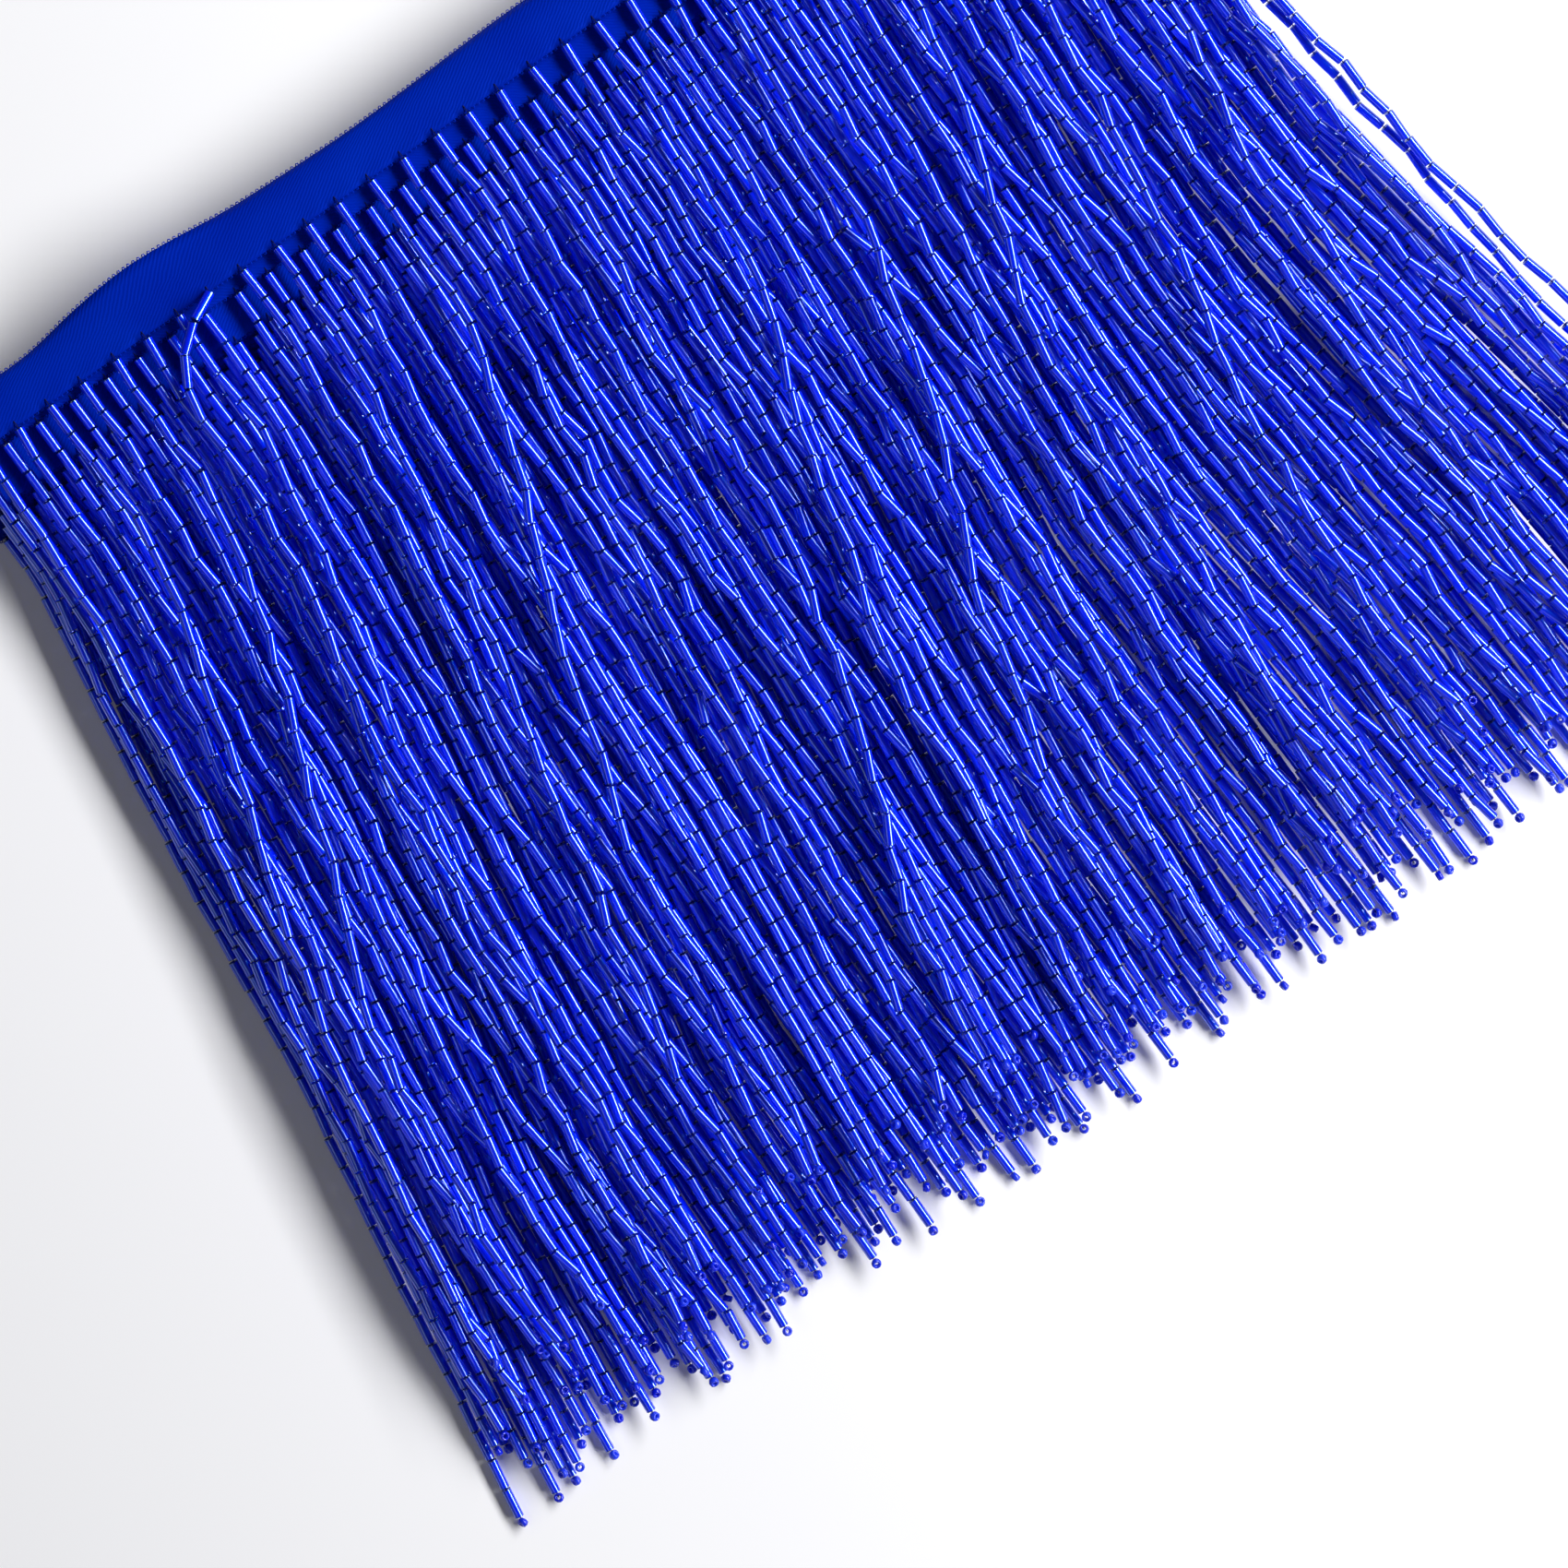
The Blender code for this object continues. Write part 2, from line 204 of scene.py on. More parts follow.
def from_grid(name, rows, lengths, widths):
    """A piece from rows of points, with a UV map in metres of cloth."""
    bm = bmesh.new()
    uv = bm.loops.layers.uv.new("cloth")
    grid = [[bm.verts.new(put(p)) for p in row] for row in rows]
    for i in range(len(grid) - 1):
        for j in range(len(grid[0]) - 1):
            face = bm.faces.new((grid[i][j], grid[i + 1][j], grid[i + 1][j + 1], grid[i][j + 1]))
            face.smooth = True
            spots = ((i, j), (i + 1, j), (i + 1, j + 1), (i, j + 1))
            for loop, (a, b) in zip(face.loops, spots):
                loop[uv].uv = (lengths[a] * MM, widths[b] * MM)
    mesh = bpy.data.meshes.new(name)
    bm.to_mesh(mesh)
    bm.free()
    piece = bpy.data.objects.new(name, mesh)
    bpy.context.scene.collection.objects.link(piece)
    return piece


lengths = [0.0]
for row, following in zip(ribbon_rows, ribbon_rows[1:]):
    lengths.append(lengths[-1] + (following[4] - row[4]).length)
ribbon = from_grid("satin_ribbon", ribbon_rows, lengths, RIBBON_ACROSS)


def linear(hex_colour, alpha=1.0):
    """An sRGB hex colour as the linear numbers that a shader takes."""
    parts = [int(hex_colour[i:i + 2], 16) / 255 for i in (1, 3, 5)]
    return tuple(c / 12.92 if c <= 0.04045 else ((c + 0.055) / 1.055) ** 2.4 for c in parts) + (alpha,)


def add(tree, kind, links=None, **settings):
    """Adds a node with its settings, and links its inputs from other nodes' outputs."""
    node = tree.nodes.new(kind)
    for key, value in settings.items():
        if key in node.inputs:
            node.inputs[key].default_value = value
        else:
            setattr(node, key, value)
    for key, source in (links or {}).items():
        tree.links.new(source, node.inputs[key])
    return node


def new_material(name):
    made = bpy.data.materials.new(name)
    made.use_nodes = True
    made.node_tree.nodes.clear()
    return made, made.node_tree


# Polyester satin: bright yarn in long floats, so it shines softly along the weave. The floats
# are drawn at twice their real pitch, because finer ones would not show. A wave texture of scale 1
# draws 3.2 bands a metre.
FLOAT_PITCH = 0.00055
BANDS_AT_SCALE_ONE = 3.2
CLOUD_SIZE = 0.018
satin, tree = new_material("polyester_satin")
cloth = add(tree, "ShaderNodeUVMap", uv_map="cloth")
diagonal = add(tree, "ShaderNodeMapping", {"Vector": cloth.outputs["UV"]})
diagonal.inputs["Rotation"].default_value = (0.0, 0.0, math.radians(34.0))
weave = add(tree, "ShaderNodeTexWave", {"Vector": diagonal.outputs["Vector"]}, wave_type="BANDS",
            bands_direction="Y")
weave.inputs["Scale"].default_value = 1.0 / FLOAT_PITCH / BANDS_AT_SCALE_ONE
weave.inputs["Distortion"].default_value = 2.5
weave.inputs["Detail"].default_value = 2.0
cloudy = add(tree, "ShaderNodeTexNoise", {"Vector": cloth.outputs["UV"]})
cloudy.inputs["Scale"].default_value = 1.0 / CLOUD_SIZE
cloudy.inputs["Detail"].default_value = 3.0
tint = add(tree, "ShaderNodeMix", {"Factor": cloudy.outputs["Fac"]}, data_type="RGBA")
tint.inputs["A"].default_value = linear("#001592")
tint.inputs["B"].default_value = linear("#0028AA")
relief = add(tree, "ShaderNodeBump", {"Height": weave.outputs["Fac"]})
relief.inputs["Strength"].default_value = 0.35
relief.inputs["Distance"].default_value = 0.00012
surface = add(tree, "ShaderNodeBsdfPrincipled",
              {"Base Color": tint.outputs["Result"], "Normal": relief.outputs["Normal"]})
surface.inputs["Roughness"].default_value = 0.42
surface.inputs["Specular IOR Level"].default_value = 0.4
surface.inputs["Specular Tint"].default_value = linear("#0060FF")
surface.inputs["Sheen Weight"].default_value = 0.05
surface.inputs["Sheen Roughness"].default_value = 0.4
surface.inputs["Sheen Tint"].default_value = linear("#1450FF")
out = add(tree, "ShaderNodeOutputMaterial", {"Surface": surface.outputs["BSDF"]})
ribbon.data.materials.append(satin)


def finish_with(piece, kind, **settings):
    """Adds a modifier to a piece and applies it."""
    bpy.ops.object.select_all(action="DESELECT")
    piece.select_set(True)
    bpy.context.view_layer.objects.active = piece
    modifier = piece.modifiers.new(kind.lower(), kind)
    for key, value in settings.items():
        setattr(modifier, key, value)
    bpy.ops.object.modifier_apply(modifier=modifier.name)


finish_with(ribbon, "SOLIDIFY", thickness=RIBBON_THICK * MM, offset=0.0)
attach(ribbon, "root")
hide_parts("ribbon")


# Picot loops. Both selvedges of the ribbon carry a small loop of weft yarn every 1.05 mm,
# which shows as a dotted edge. One loop is a ring of yarn lying in the plane of the ribbon.
PICOT_PITCH = 1.05
PICOT_RING = 0.26
PICOT_YARN = 0.13
PICOT_PAST_EDGE = 0.12


def string_copies(name, pattern, seats, cut_ends=False):
    """Joins copies of a small shape, one for each seat: its middle, its axes and its own number."""
    mesh = pattern.data
    count = len(mesh.vertices)
    points = np.zeros(count * 3)
    mesh.vertices.foreach_get("co", points)
    points = points.reshape(-1, 3)
    corner = np.zeros(len(mesh.loops), int)
    mesh.loops.foreach_get("vertex_index", corner)
    starts = np.zeros(len(mesh.polygons), int)
    mesh.polygons.foreach_get("loop_start", starts)
    smooth_faces = np.array([p.use_smooth for p in mesh.polygons])
    slots = np.array([p.material_index for p in mesh.polygons])
    middles = np.array([tuple(put(s[0])) for s in seats])
    axes = np.array([[tuple(a) for a in s[1]] for s in seats])
    placed = np.einsum("vk,nkc->nvc", points, axes) + middles[:, None, :]
    total = len(seats)
    made = bpy.data.meshes.new(name)
    made.vertices.add(total * count)
    made.vertices.foreach_set("co", placed.ravel())
    made.loops.add(total * len(corner))
    of_copy = np.arange(total)[:, None]
    made.loops.foreach_set("vertex_index", (corner[None, :] + count * of_copy).ravel())
    made.polygons.add(total * len(starts))
    made.polygons.foreach_set("loop_start", (starts[None, :] + len(corner) * of_copy).ravel())
    made.update(calc_edges=True)
    made.polygons.foreach_set("use_smooth", np.tile(smooth_faces, total))
    made.polygons.foreach_set("material_index", np.tile(slots, total))
    reach = np.abs(points[:, 2]).max()
    if cut_ends:
        edges = np.zeros(len(made.edges) * 2, int)
        made.edges.foreach_get("vertices", edges)
        outside = np.hypot(points[:, 0], points[:, 1]) > 0.9 * np.abs(points[:, 0]).max()
        ends = (np.sign(points[:, 2]) * outside)[edges.reshape(-1, 2) % count]
        made.edges.foreach_set("use_edge_sharp", (ends[:, 0] == ends[:, 1]) & (ends[:, 0] != 0))
    along = made.attributes.new("along_bead", "FLOAT", "POINT")
    along.data.foreach_set("value", np.tile(points[:, 2] / reach, total))
    tone = made.attributes.new("bead_tone", "FLOAT", "POINT")
    tone.data.foreach_set("value", np.repeat([s[2] for s in seats], count))
    made.validate()
    piece = bpy.data.objects.new(name, made)
    bpy.context.scene.collection.objects.link(piece)
    return piece


bpy.ops.object.select_all(action="DESELECT")
bpy.ops.mesh.primitive_torus_add(major_segments=5, minor_segments=3, major_radius=PICOT_RING * MM,
                                 minor_radius=PICOT_YARN * MM)
loop = bpy.context.active_object
bpy.ops.object.shade_smooth()
seats = []
chance = random.Random(7)
for edge, inwards in ((0, 1), (-1, -2)):
    wanted = 0.0
    for i in range(len(ribbon_rows) - 1):
        while wanted <= lengths[i + 1]:
            share = (wanted - lengths[i]) / (lengths[i + 1] - lengths[i])
            spot = ribbon_rows[i][edge].lerp(ribbon_rows[i + 1][edge], share)
            inner = ribbon_rows[i][inwards].lerp(ribbon_rows[i + 1][inwards], share)
            outwards = (spot - inner).normalized()
            along = (ribbon_rows[i + 1][edge] - ribbon_rows[i][edge]).normalized()
            axes = (along, outwards, along.cross(outwards))
            seats.append((spot + outwards * PICOT_PAST_EDGE, axes, chance.random()))
            wanted += PICOT_PITCH
picots = string_copies("picot_loops", loop, seats)
picots.data.materials.append(satin)
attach(picots, "root")
bpy.data.objects.remove(loop)


# Bead strands. Each is a polyester thread, sewn through the ribbon's lower selvedge and strung
# with some 32 glass bugle beads. Strands lie on levels, which the lower layers share in pairs, and
# there they bunch, part and run in shallow waves. A few of the top ones lie across the others.
MAT_WAVES = ((2.2, 320.0, 210.0, 0.3), (0.8, 240.0, 105.0, 1.9))
LEVEL_WAVES = (
    MAT_WAVES,
    MAT_WAVES,
    ((2.2, 115.0, 230.0, 4.4), (0.5, 46.0, 112.0, 0.8)),
    ((2.0, 87.0, 210.0, 1.3), (0.8, 38.0, 140.0, 2.6)),
    ((1.8, 128.0, 240.0, 5.3), (0.8, 43.0, 128.0, 3.1)),
    ((1.8, 128.0, 240.0, 5.3), (0.8, 43.0, 128.0, 3.1)),
)
LEVEL_SHIFT = (0.0, 0.4, 0.0, 0.0, 0.0, 0.0)
LEVEL_LEAN = (-0.055, -0.055, -0.045, -0.005, -0.075, -0.075)
OWN_SWAY = (0.05, 0.05, 0.7, 1.1, 1.3, 0.8)
OWN_LEAN = (0.0, 0.0, 0.012, 0.035, 0.035, 0.01)
SWAY_NEAR_ROOT = (0.05, 0.05, 0.05, 0.05, 0.1, 0.2, 0.1, 1.1)
FAN_LEFT = 17.0
FAN_RIGHT = 34.0
FAN_HALF_WIDTH = 121.0
FAN_LENGTH = 180.0
STRAYS = {
    2: (-12.0, -27.0),
    4: (-17.0, -27.0),
    7: (-13.4, 100.0),
    9: (-14.0, -54.0),
    12: (-22.0, -27.0),
    16: (-17.0, -90.0),
    19: (-15.0, -27.0),
    22: (-23.0, -54.0),
    26: (-16.0, -27.0),
    29: (-20.0, -54.0),
    32: (-14.0, -27.0),
}
STRAY_LENGTH = 110.0
BENT_STRAND = 7
BEND = ((-0.8, -1.3, 1.0), (-5.6, -2.6, 2.2), (-10.4, -6.8, 2.2), (-13.0, -12.0, 2.2))
LAYER_LEVEL = (0, 0, 1, 1, 2, 2, 3, 4)
STRAY_LEVEL = 5
LEVELS = 6
PAST_SELVEDGES_Y = -17.0
SETTLED_Y = -27.0
STATIONS_Y = (PAST_SELVEDGES_Y, SETTLED_Y, -54.0, -90.0, -128.0, -168.0, -222.0)
FREE_FROM_Y = -78.0


def strand_roots(layer):
    """Where the strands of a layer are sewn on, in x, and how long each one is."""
    chance = random.Random(layer)
    jitter = ROOT_JITTER[layer // 2]
    count = STRANDS_ON_EVEN_LAYER - layer % 2
    phase = PAIR_PHASE[layer // 2] + (layer % 2) * STRAND_PITCH / 2
    roots = []
    for i in range(count):
        x = FIRST_STRAND_X + phase + i * STRAND_PITCH + chance.uniform(-jitter, jitter)
        beads = BEADS_ON_STRAND + chance.choice(BEADS_MORE_OR_FEWER)
        roots.append((x, beads * BEAD_PITCH + TIP_LENGTH))
    return roots


def sideways(level, x, y):
    """How far the strands of a level have moved sideways at y, for one rooted at x."""
    past = max(SETTLED_Y - y, 0.0)
    away = smooth(past / (SETTLED_Y - FREE_FROM_Y))
    moved = away * LEVEL_SHIFT[level] + LEVEL_LEAN[level] * past
    for size, across, along, phase in LEVEL_WAVES[level]:
        moved += away * size * math.sin(2.0 * math.pi * (x / across - y / along) + phase)
    share = min(abs(x) / FAN_HALF_WIDTH, 1.0) ** 1.4
    down = min(past / FAN_LENGTH, 1.2)
    if x < 0.0:
        moved -= FAN_LEFT * share * math.sin(down * math.pi / 2.4)
    else:
        moved += FAN_RIGHT * share * down ** 1.5
    return moved


def keep_apart(places):
    """Moves neighbours that are too close apart, a little at a time, and keeps their order."""
    places = list(places)
    for _ in range(200):
        for i in range(len(places) - 1):
            lack = BEAD_ROOM - (places[i + 1] - places[i])
            if lack > 0.0:
                places[i] -= lack / 2
                places[i + 1] += lack / 2
    return places


def level_places(level):
    """Each strand's sideways place at every station, its level, and how far it may stray there."""
    strands = []
    for layer in range(LAYERS):
        for index, (x, _) in enumerate(strand_roots(layer)):
            is_stray = layer == LAYERS - 1 and index in STRAYS
            if level == (STRAY_LEVEL if is_stray else LAYER_LEVEL[layer]):
                strands.append((x, layer, index))
    strands.sort()
    chance = random.Random(100 + level)
    places = {(layer, index): [] for _, layer, index in strands}
    leans = [chance.uniform(-OWN_LEAN[level], OWN_LEAN[level]) for _ in strands]
    for y in STATIONS_Y:
        wanted = []
        for (x, layer, index), lean in zip(strands, leans):
            sway = SWAY_NEAR_ROOT[layer] if y >= SETTLED_Y else OWN_SWAY[level]
            place = x + sideways(level, x, y) + lean * max(SETTLED_Y - y, 0.0) + chance.uniform(-sway, sway)
            if level == STRAY_LEVEL:
                shift, leaves_y = STRAYS[index]
                place += shift * smooth((leaves_y - y) / STRAY_LENGTH)
            wanted.append(place)
        kept = [-OUT_OF_REACH] + keep_apart(wanted) + [OUT_OF_REACH]
        for i, (_, layer, index) in enumerate(strands):
            before, place, after = kept[i:i + 3]
            room = (min(place - before, after - place) - STRAND_SPACE) / 2
            places[layer, index].append((place, level, room))
    return places


# Most that a joint between beads lies off its strand's smooth route, near the root of each layer
# and on each level. A joint keeps some of the kink of the joint before it.
LEAST_KINK = 0.07
ROOT_KINK = (0.10, 0.10, 0.10, 0.10, 0.10, 0.12, 0.14, 0.5)
LEVEL_KINK = (0.15, 0.15, 0.8, 1.1, 1.1, 1.1)
KINK_KEPT = 0.35
KINK_NEW = 0.8
STRAND_MIDDLE = 0.95
SEWN_ABOVE_EDGE = -0.2


def strand_joints(layer, index, root, length, places):
    """The middle of the strand at each joint between beads, from the ribbon's edge to the tip."""
    root_y = edge_y(layer, root)
    root_z = layer * LAYER_RISE
    course = [(Vector((root, root_y + SEWN_ABOVE_EDGE, root_z)), ROOT_KINK[layer])]
    if layer == LAYERS - 1 and index == BENT_STRAND:
        course += [(Vector((root, root_y, root_z)) + Vector(corner), 0.0) for corner in BEND]
    for y, (place, level, room) in zip(STATIONS_Y, places):
        point = Vector((place, y, level * LEVEL_RISE if y <= SETTLED_Y else course[-1][0].z))
        settled_kink = min(max(room, LEAST_KINK), LEVEL_KINK[level])
        course.append((point, ROOT_KINK[layer] if y >= SETTLED_Y else settled_kink))
    chance = random.Random(1000 * layer + index)
    joints = []
    aside = 0.0
    travelled = 0.0
    wanted = 0.0
    stop = length - TIP_LENGTH + 0.01
    for (start, start_kink), (end, end_kink) in zip(course, course[1:]):
        step = (end - start).length
        while wanted <= travelled + step and wanted <= stop:
            share = (wanted - travelled) / step
            kink = start_kink + (end_kink - start_kink) * share
            point = start.lerp(end, share)
            aside = KINK_KEPT * aside + KINK_NEW * chance.uniform(-kink, kink)
            if joints:
                point.x += aside
            joints.append(point + Vector((0.0, 0.0, STRAND_MIDDLE)))
            wanted += BEAD_PITCH
        travelled += step
    return joints


strand_places = {}
for level in range(LEVELS):
    strand_places.update(level_places(level))
strands = []
for layer in range(LAYERS):
    for index, (root, length) in enumerate(strand_roots(layer)):
        strands.append((layer, strand_joints(layer, index, root, length, strand_places[layer, index])))

# Bugle beads. Drawn tube of cobalt glass, silvered inside and cut square to just under 6 mm. One
# is shaped here, its ends dished into the bore, and then strung, a little loose on its thread.
BEAD_LENGTH = 5.85
BEAD_ACROSS = 1.86
BEAD_WALL = 0.42
BEAD_DISH = 0.25
BORE_PLAY = 0.16
MOST_TURN = 0.6

bpy.ops.object.select_all(action="DESELECT")
bpy.ops.mesh.primitive_cylinder_add(vertices=10, radius=BEAD_ACROSS / 2 * MM, depth=BEAD_LENGTH * MM)
bugle = bpy.context.active_object
bugle.name = "bugle_pattern"
bpy.ops.object.mode_set(mode="EDIT")
bm = bmesh.from_edit_mesh(bugle.data)
for face in bm.faces:
    face.select_set(abs(face.normal.z) > 0.9)
bmesh.update_edit_mesh(bugle.data)
bpy.ops.mesh.inset(thickness=BEAD_WALL * MM, use_individual=True)
bm = bmesh.from_edit_mesh(bugle.data)
for face in bm.faces:
    face.smooth = abs(face.normal.z) < 0.9
    # The dished middle of each end takes the second material, a dark disc painted as the shade in the bore
    if face.select:
        face.material_index = 1
        for vertex in face.verts:
            vertex.co.z -= math.copysign(BEAD_DISH * MM, vertex.co.z)
bmesh.update_edit_mesh(bugle.data)
bpy.ops.object.mode_set(mode="OBJECT")

# Cobalt glass, drawn and fire polished: smooth and glossy over the silvered bore, which throws
# light back through the glass. So its reflections are azure and broad, with the IOR raised for the
# silver, under a clear coat that draws the narrow white line along each bead.
cobalt, tree = new_material("silver_lined_cobalt_glass")
tone = add(tree, "ShaderNodeAttribute", attribute_name="bead_tone")
along = add(tree, "ShaderNodeAttribute", attribute_name="along_bead")
# Painted shade: the along_bead mask turns each bead's side dark navy over about its last 0.23 mm, and its
# end ring too, standing for the shade in the narrow gaps between beads
near_end = add(tree, "ShaderNodeMath", {0: along.outputs["Fac"]}, operation="ABSOLUTE")
joint = add(tree, "ShaderNodeMapRange", {"Value": near_end.outputs["Value"]},
            interpolation_type="SMOOTHSTEP")
joint.inputs["From Min"].default_value = 0.92
joint.inputs["From Max"].default_value = 1.0
blue = add(tree, "ShaderNodeMix", {"Factor": tone.outputs["Fac"]}, data_type="RGBA")
blue.inputs["A"].default_value = linear("#000DF0")
blue.inputs["B"].default_value = linear("#0018FF")
blue_with_joint_shade = add(tree, "ShaderNodeMix", {"Factor": joint.outputs["Result"], "A": blue.outputs["Result"]},
            data_type="RGBA")
blue_with_joint_shade.inputs["B"].default_value = linear("#02064A")
glass = add(tree, "ShaderNodeBsdfPrincipled", {"Base Color": blue_with_joint_shade.outputs["Result"]})
glass.inputs["IOR"].default_value = 2.2
glass.inputs["Specular IOR Level"].default_value = 0.6
glass.inputs["Specular Tint"].default_value = linear("#0A96FF")
glass.inputs["Roughness"].default_value = 0.3
glass.inputs["Coat Weight"].default_value = 1.0
glass.inputs["Coat Roughness"].default_value = 0.03
glass.inputs["Coat IOR"].default_value = 1.8
out = add(tree, "ShaderNodeOutputMaterial", {"Surface": glass.outputs["BSDF"]})

# Cut glass: the ends show the matt wall of the tube and the bore with its thread. The dished middle of each
# end, where the bore opens, is a dark navy disc: painted shade for the hole, over the dark thread in it.
bore_shade, tree = new_material("painted_bore_shade")
glass = add(tree, "ShaderNodeBsdfPrincipled")
glass.inputs["Base Color"].default_value = linear("#03063A")
glass.inputs["Roughness"].default_value = 0.3
out = add(tree, "ShaderNodeOutputMaterial", {"Surface": glass.outputs["BSDF"]})


def axes_along(direction, turn):
    """Three unit axes with the last along direction, turned about it."""
    direction = direction.normalized()
    side = direction.cross(Vector((0.0, 0.0, 1.0))).normalized()
    upright = side.cross(direction)
    first = side * math.cos(turn) + upright * math.sin(turn)
    return first, direction.cross(first), direction


for layer in range(LAYERS):
    chance = random.Random(50 + layer)
    seats = []
    for of_layer, joints in strands:
        if of_layer != layer:
            continue
        for start, end in zip(joints, joints[1:]):
            loose = Vector((chance.uniform(-BORE_PLAY, BORE_PLAY), 0.0, chance.uniform(0.0, BORE_PLAY)))
            tilt = Vector((chance.uniform(-BORE_PLAY, BORE_PLAY), 0.0, 0.0))
            axes = axes_along(end - start + tilt, chance.uniform(0.0, MOST_TURN))
            seats.append(((start + end) / 2 + loose, axes, chance.random()))
    row = string_copies(f"bugles_{layer + 1}", bugle, seats, cut_ends=True)
    row.data.materials.append(cobalt)
    row.data.materials.append(bore_shade)
    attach(row, "root")
    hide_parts(f"fringe_{layer + 1}")

bpy.data.objects.remove(bugle)

# Stop beads. A 2 mm seed bead of the same glass, unlined, ends each strand. The thread turns back
# through it, so it sits askew, with its hole across the strand.
SEED_ACROSS = 1.95
SEED_BORE = 0.7
SEED_LENGTH = 1.35

bpy.ops.object.select_all(action="DESELECT")
wall = (SEED_ACROSS - SEED_BORE) / 4
bpy.ops.mesh.primitive_torus_add(major_segments=10, minor_segments=6,
                                 major_radius=(SEED_ACROSS / 2 - wall) * MM, minor_radius=wall * MM)
seed_bead = bpy.context.active_object
bpy.ops.transform.resize(value=(1.0, 1.0, SEED_LENGTH / 2 / wall))
bpy.ops.object.transform_apply(location=False, rotation=False, scale=True)
bpy.ops.object.shade_smooth()
chance = random.Random(90)
seats = []
for layer, joints in strands:
    down = (joints[-1] - joints[-2]).normalized()
    askew = Vector((chance.uniform(-1.0, 1.0), chance.uniform(-0.35, 0.35), chance.uniform(-0.9, 0.9)))
    centre = joints[-1] + down * (SEED_ACROSS / 2 + chance.uniform(0.1, 0.25))
    centre.z -= STRAND_MIDDLE - SEED_ACROSS / 2
    seats.append((centre, axes_along(askew - down * 0.1, chance.uniform(0.0, MOST_TURN)), chance.random()))
seeds = string_copies("stop_beads", seed_bead, seats)

# Unlined cobalt glass: some light goes through it, so it is paler and brighter than the strands
clear, tree = new_material("transparent_cobalt_glass")
tone = add(tree, "ShaderNodeAttribute", attribute_name="bead_tone")
blue = add(tree, "ShaderNodeMix", {"Factor": tone.outputs["Fac"]}, data_type="RGBA")
blue.inputs["A"].default_value = linear("#0A22E6")
blue.inputs["B"].default_value = linear("#2A4CFF")
glass = add(tree, "ShaderNodeBsdfPrincipled", {"Base Color": blue.outputs["Result"]})
glass.inputs["Roughness"].default_value = 0.06
glass.inputs["IOR"].default_value = 1.52
glass.inputs["Transmission Weight"].default_value = 0.35
out = add(tree, "ShaderNodeOutputMaterial", {"Surface": glass.outputs["BSDF"]})
seeds.data.materials.append(clear)
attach(seeds, "root")
bpy.data.objects.remove(seed_bead)

# Stringing thread. Dark blue bonded polyester, 0.22 mm thick: it comes through the selvedge at each
# root, runs through all the bores and shows in the joints between the beads.
THREAD_ACROSS = 0.22
THREAD_SIDES = 3
ENTRY_PAST_EDGE = 1.1
ENTRY_HEIGHT = 0.6
TURN_PAST_EDGE = 0.1
TURN_HEIGHT = 0.85

ring = []
for side in range(THREAD_SIDES):
    angle = 2.0 * math.pi * side / THREAD_SIDES
    ring.append(Vector((math.cos(angle), 0.0, math.sin(angle))) * THREAD_ACROSS / 2)
points = []
faces = []
for (layer, joints), (stop, _, _) in zip(strands, seats):
    first = joints[0]
    edge = edge_y(layer, first.x)
    entry = Vector((first.x, edge + ENTRY_PAST_EDGE, layer * LAYER_RISE + ENTRY_HEIGHT))
    over = Vector((first.x, edge + TURN_PAST_EDGE, layer * LAYER_RISE + TURN_HEIGHT))
    course = [entry, over] + joints + [stop]
    start = len(points)
    points += [put(spot + corner) for spot in course for corner in ring]
    for step in range(len(course) - 1):
        for side in range(THREAD_SIDES):
            a = start + step * THREAD_SIDES + side
            b = start + step * THREAD_SIDES + (side + 1) % THREAD_SIDES
            faces.append((a, b, b + THREAD_SIDES, a + THREAD_SIDES))
mesh = bpy.data.meshes.new("stringing_thread")
mesh.from_pydata(points, [], faces)
mesh.shade_smooth()
thread = bpy.data.objects.new("stringing_thread", mesh)
bpy.context.scene.collection.objects.link(thread)

# Bonded polyester: a smooth, dull coating holds the filaments together, so it hardly shines
polyester, tree = new_material("bonded_polyester_thread")
surface = add(tree, "ShaderNodeBsdfPrincipled")
surface.inputs["Base Color"].default_value = linear("#040A3C")
surface.inputs["Roughness"].default_value = 0.55
surface.inputs["Specular IOR Level"].default_value = 0.2
out = add(tree, "ShaderNodeOutputMaterial", {"Surface": surface.outputs["BSDF"]})
thread.data.materials.append(polyester)
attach(thread, "root")

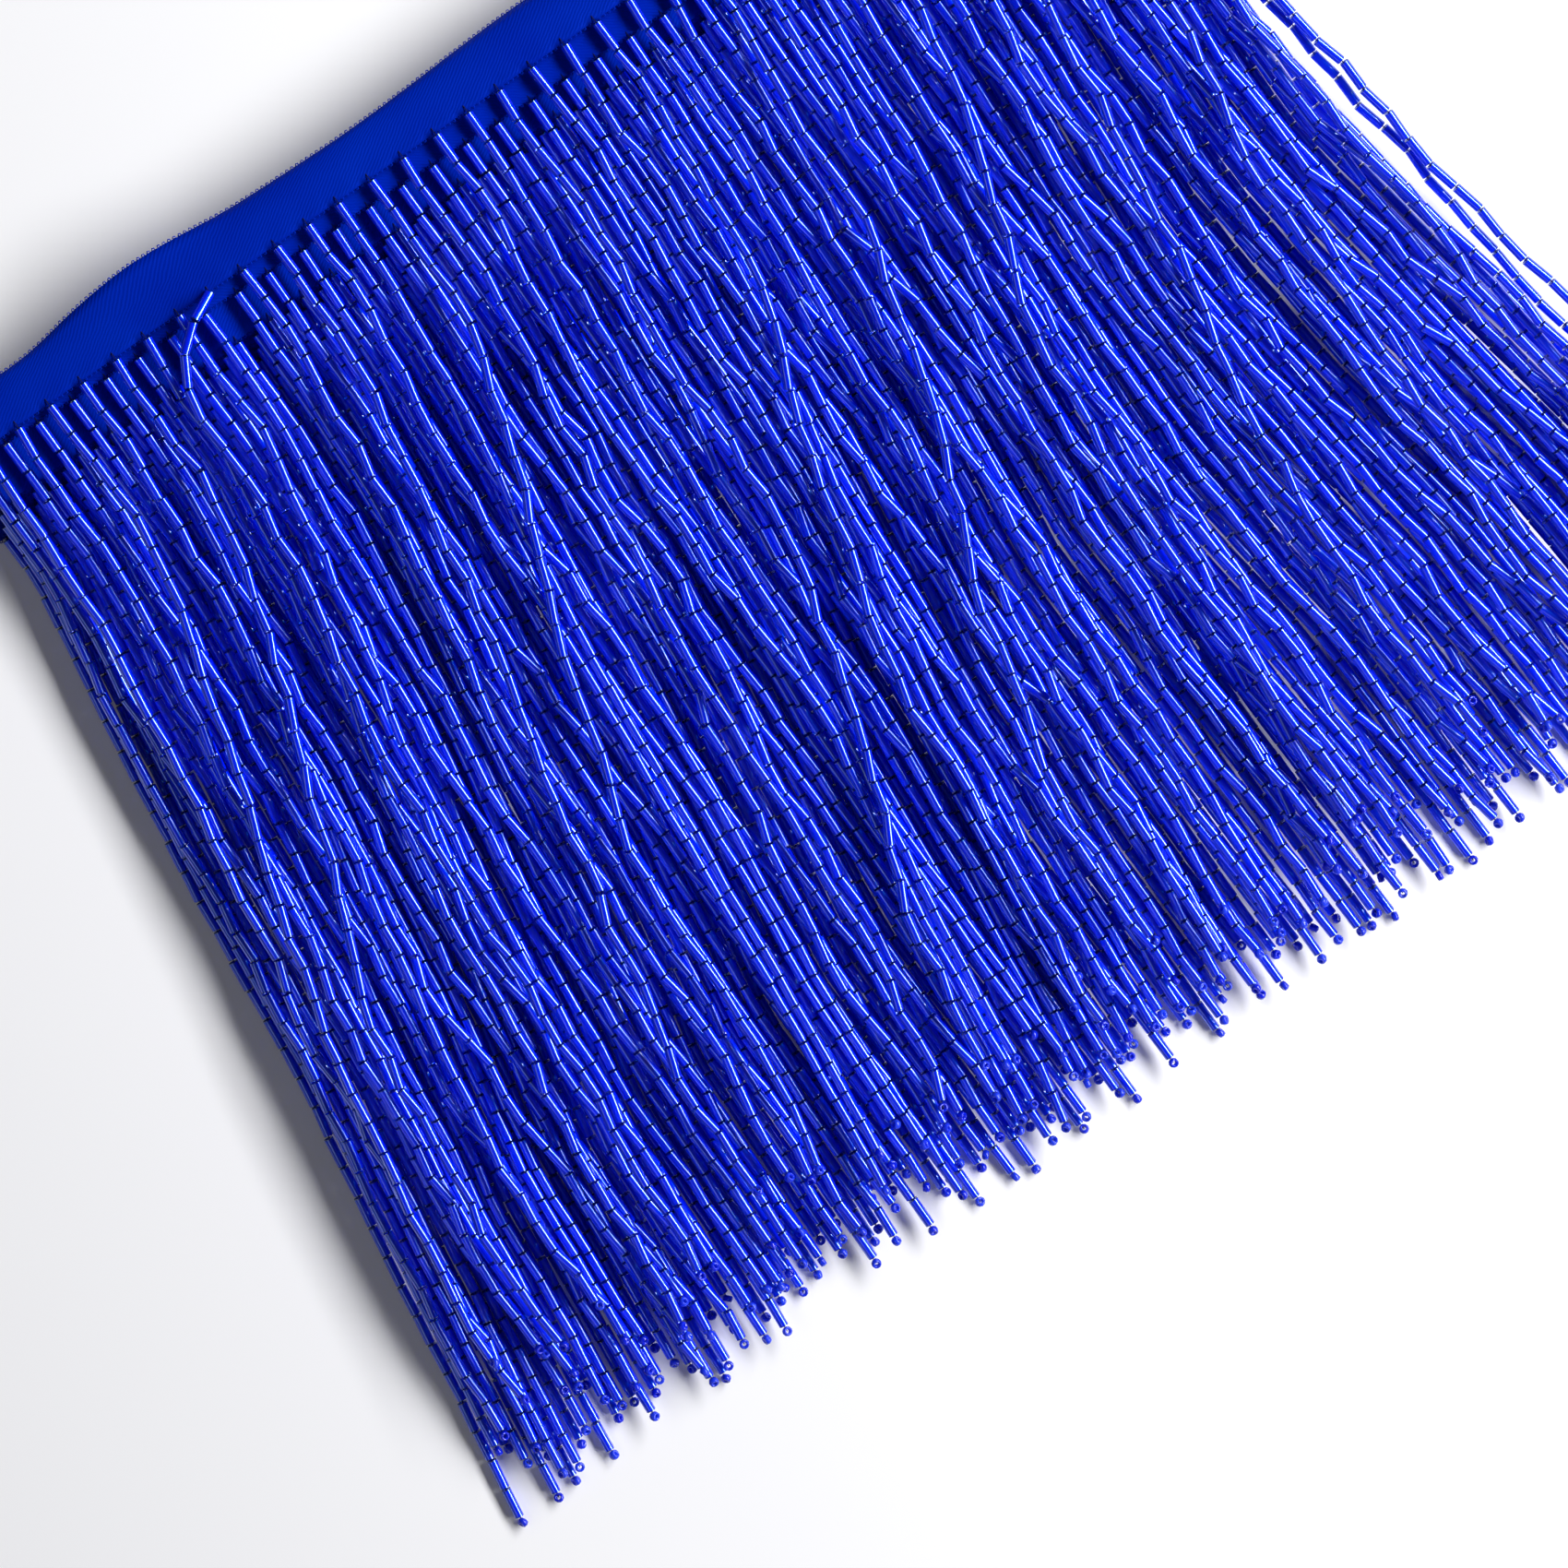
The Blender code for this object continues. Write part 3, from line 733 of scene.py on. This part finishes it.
# Studio. The trim lies on a plain white laminate table, which is smooth and hardly shines. A long
# softbox to the right draws the bright line along each bead, and a weak one fills in from the left.
FLOOR_SIZE = 6.0
CAMERA_LENS = 141.6
CAMERA_PLACE = (-0.0362, 0.2047, 1.107)
CAMERA_TURN = (-9.72, -7.05, -34.42)

bpy.ops.object.select_all(action="DESELECT")
bpy.ops.mesh.primitive_plane_add(size=FLOOR_SIZE)
floor = bpy.context.active_object
floor.name = "floor"
white, tree = new_material("white_laminate")
surface = add(tree, "ShaderNodeBsdfPrincipled")
surface.inputs["Base Color"].default_value = linear("#F2F2F5")
surface.inputs["Roughness"].default_value = 0.6
out = add(tree, "ShaderNodeOutputMaterial", {"Surface": surface.outputs["BSDF"]})
floor.data.materials.append(white)


def softbox(name, toward, distance, size_x, size_y, radiance):
    """A rectangular light that looks at the middle of the trim. Its power follows its radiance."""
    data = bpy.data.lights.new(name, "AREA")
    data.shape = "RECTANGLE"
    data.size = size_x
    data.size_y = size_y
    data.energy = radiance * math.pi * size_x * size_y
    lamp = bpy.data.objects.new(name, data)
    bpy.context.scene.collection.objects.link(lamp)
    direction = Vector(toward).normalized()
    lamp.location = direction * distance
    lamp.rotation_euler = direction.to_track_quat("Z", "Y").to_euler()
    return lamp


softbox("right_strip", (0.75, -0.16, 0.66), 1.1, 1.9, 0.34, 15.0)
softbox("left_strip", (-0.70, -0.10, 0.70), 1.3, 1.9, 0.22, 1.6)

world = bpy.data.worlds.new("studio")
bpy.context.scene.world = world
world.use_nodes = True
world.node_tree.nodes["Background"].inputs["Color"].default_value = (0.93, 0.95, 1.0, 1.0)
world.node_tree.nodes["Background"].inputs["Strength"].default_value = 0.03
bpy.context.scene.view_settings.view_transform = "Standard"

camera_data = bpy.data.cameras.new("camera")
camera = bpy.data.objects.new("camera", camera_data)
bpy.context.scene.collection.objects.link(camera)
camera_data.lens = CAMERA_LENS
camera.location = CAMERA_PLACE
camera.rotation_euler = [math.radians(degrees) for degrees in CAMERA_TURN]
bpy.context.scene.camera = camera
